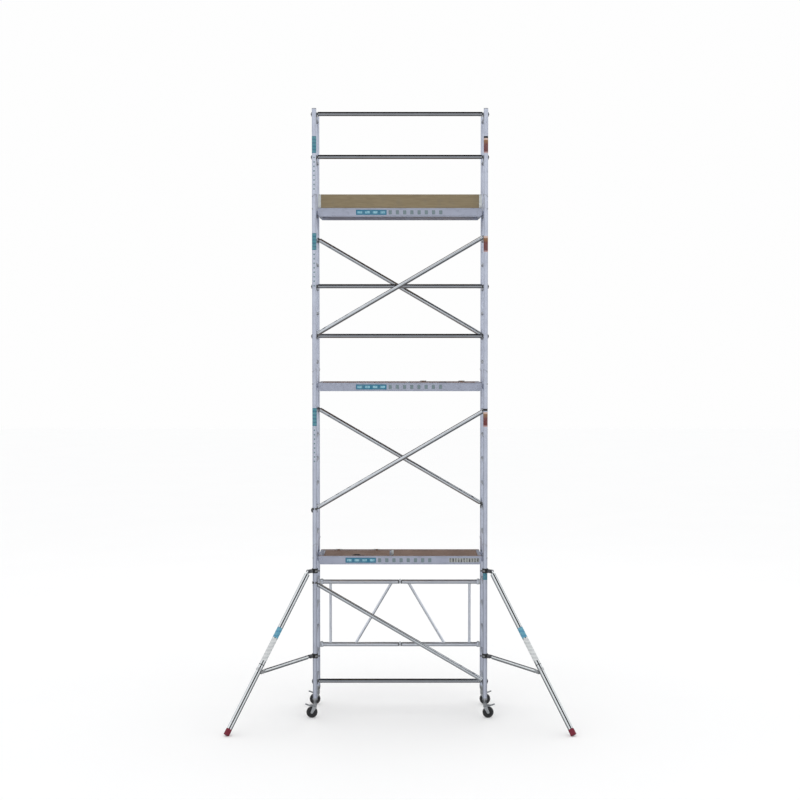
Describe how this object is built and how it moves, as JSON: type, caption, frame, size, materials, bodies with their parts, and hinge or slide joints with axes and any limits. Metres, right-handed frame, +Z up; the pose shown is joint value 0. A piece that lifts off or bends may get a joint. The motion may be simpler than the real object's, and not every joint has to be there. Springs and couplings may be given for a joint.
{
  "type": "mobile tower scaffold",
  "caption": "Free-standing mobile access tower: stacked ladder frames on a folding base, hatch platforms, toe boards, guard rails, diagonal braces, braked casters and outriggers.",
  "frame": {"origin": "on the floor, at the centre of the whole footprint, stabiliser feet included", "axes": "+X along the bay to the right seen from the front, +Y from the front (stabiliser side) to the rear, +Z up"},
  "size_m": [3.8048, 1.6505, 6.854],
  "materials": {
    "frame_tube": "satin extruded",
    "beam": "satin extruded",
    "rail_tube": "bright drawn",
    "gate_tube": "satin extruded",
    "spigot": "bright drawn",
    "zinc_steel": "zinc plated",
    "caster_steel": "zinc plated",
    "tyre": "matt",
    "hub_plastic": "moulded",
    "pedal": "coated",
    "black_plastic": "glass filled nylon",
    "grey_plastic": "moulded",
    "plywood": "phenolic film faced",
    "toe_wood": "sealed",
    "red_rubber": "matt"
  },
  "bodies": {
    "tower": {"base_frame_left": "frame_tube", "base_frame_right": "frame_tube", "mid_frame_left": "frame_tube", "mid_frame_right": "frame_tube", "upper_frame_left": "frame_tube", "upper_frame_right": "frame_tube", "guard_frame_left": "frame_tube", "guard_frame_right": "frame_tube", "spigots": "spigot", "spigot_bolts": "zinc_steel", "lock_clips": "zinc_steel", "upright_caps": "grey_plastic", "caster_sockets": "caster_steel", "guard_rails": "rail_tube", "base_rail": "rail_tube", "diagonal_braces": "rail_tube", "rail_claws": "black_plastic", "brace_claws": "black_plastic", "platform_frame_1": "beam", "deck_panel_1": "plywood", "platform_frame_2": "beam", "deck_panel_2": "plywood", "platform_frame_3": "beam", "deck_panel_3": "plywood", "hatch_hinges": "zinc_steel", "toe_boards": "toe_wood", "toe_board_brackets": "beam", "gate_half_left": "gate_tube", "gate_half_right": "gate_tube", "gate_brackets": "gate_tube", "gate_pins": "zinc_steel"},
    "caster_front_left": {"caster_fork_front_left": "caster_steel"},
    "wheel_front_left": {"caster_tyre_front_left": "tyre", "caster_hub_front_left": "hub_plastic"},
    "pedal_front_left": {"brake_pedal_front_left": "pedal"},
    "caster_rear_left": {"caster_fork_rear_left": "caster_steel"},
    "wheel_rear_left": {"caster_tyre_rear_left": "tyre", "caster_hub_rear_left": "hub_plastic"},
    "pedal_rear_left": {"brake_pedal_rear_left": "pedal"},
    "caster_front_right": {"caster_fork_front_right": "caster_steel"},
    "wheel_front_right": {"caster_tyre_front_right": "tyre", "caster_hub_front_right": "hub_plastic"},
    "pedal_front_right": {"brake_pedal_front_right": "pedal"},
    "caster_rear_right": {"caster_fork_rear_right": "caster_steel"},
    "wheel_rear_right": {"caster_tyre_rear_right": "tyre", "caster_hub_rear_right": "hub_plastic"},
    "pedal_rear_right": {"brake_pedal_rear_right": "pedal"},
    "hatch_1": {"hatch_1": "plywood"},
    "hatch_2": {"hatch_2": "plywood"},
    "hatch_3": {"hatch_3": "plywood"},
    "stabiliser_left": {"stabiliser_clamps_left": "black_plastic", "clamp_hardware_left": "zinc_steel", "stabiliser_leg_left": "rail_tube", "stabiliser_strut_left": "rail_tube", "stabiliser_foot_left": "red_rubber"},
    "stabiliser_right": {"stabiliser_clamps_right": "black_plastic", "clamp_hardware_right": "zinc_steel", "stabiliser_leg_right": "rail_tube", "stabiliser_strut_right": "rail_tube", "stabiliser_foot_right": "red_rubber"}
  },
  "joints": [
    {"name": "swivel_front_left", "type": "hinge", "parent": "tower", "child": "caster_front_left", "pos_m": [-0.96, 0.0929, 0.15], "axis": [0, 0, 1], "continuous": true},
    {"name": "roll_front_left", "type": "hinge", "parent": "caster_front_left", "child": "wheel_front_left", "pos_m": [-0.996, 0.0929, 0.0625], "axis": [0, 1, 0], "continuous": true},
    {"name": "brake_front_left", "type": "hinge", "parent": "caster_front_left", "child": "pedal_front_left", "pos_m": [-0.96, 0.0929, 0.134], "axis": [0, -1, 0], "range_deg": [0, 8]},
    {"name": "swivel_rear_left", "type": "hinge", "parent": "tower", "child": "caster_rear_left", "pos_m": [-0.96, 0.7929, 0.15], "axis": [0, 0, 1], "continuous": true},
    {"name": "roll_rear_left", "type": "hinge", "parent": "caster_rear_left", "child": "wheel_rear_left", "pos_m": [-0.996, 0.7929, 0.0625], "axis": [0, 1, 0], "continuous": true},
    {"name": "brake_rear_left", "type": "hinge", "parent": "caster_rear_left", "child": "pedal_rear_left", "pos_m": [-0.96, 0.7929, 0.134], "axis": [0, -1, 0], "range_deg": [0, 8]},
    {"name": "swivel_front_right", "type": "hinge", "parent": "tower", "child": "caster_front_right", "pos_m": [0.96, 0.0929, 0.15], "axis": [0, 0, 1], "continuous": true},
    {"name": "roll_front_right", "type": "hinge", "parent": "caster_front_right", "child": "wheel_front_right", "pos_m": [0.996, 0.0929, 0.0625], "axis": [0, 1, 0], "continuous": true},
    {"name": "brake_front_right", "type": "hinge", "parent": "caster_front_right", "child": "pedal_front_right", "pos_m": [0.96, 0.0929, 0.134], "axis": [0, 1, 0], "range_deg": [0, 8]},
    {"name": "swivel_rear_right", "type": "hinge", "parent": "tower", "child": "caster_rear_right", "pos_m": [0.96, 0.7929, 0.15], "axis": [0, 0, 1], "continuous": true},
    {"name": "roll_rear_right", "type": "hinge", "parent": "caster_rear_right", "child": "wheel_rear_right", "pos_m": [0.996, 0.7929, 0.0625], "axis": [0, 1, 0], "continuous": true},
    {"name": "brake_rear_right", "type": "hinge", "parent": "caster_rear_right", "child": "pedal_rear_right", "pos_m": [0.96, 0.7929, 0.134], "axis": [0, 1, 0], "range_deg": [0, 8]},
    {"name": "hatch_1_lift", "type": "hinge", "parent": "tower", "child": "hatch_1", "pos_m": [0, 0.6949, 1.8335], "axis": [-1, 0, 0], "range_deg": [0, 95]},
    {"name": "hatch_2_lift", "type": "hinge", "parent": "tower", "child": "hatch_2", "pos_m": [0, 0.6949, 3.7935], "axis": [-1, 0, 0], "range_deg": [0, 95]},
    {"name": "hatch_3_lift", "type": "hinge", "parent": "tower", "child": "hatch_3", "pos_m": [0, 0.6949, 5.7535], "axis": [-1, 0, 0], "range_deg": [0, 95]},
    {"name": "stabiliser_swing_left", "type": "hinge", "parent": "tower", "child": "stabiliser_left", "pos_m": [-0.96, 0.0929, 1.2], "axis": [0, 0, -1], "range_deg": [-40, 40]},
    {"name": "stabiliser_swing_right", "type": "hinge", "parent": "tower", "child": "stabiliser_right", "pos_m": [0.96, 0.0929, 1.2], "axis": [0, 0, 1], "range_deg": [-40, 40]}
  ]
}
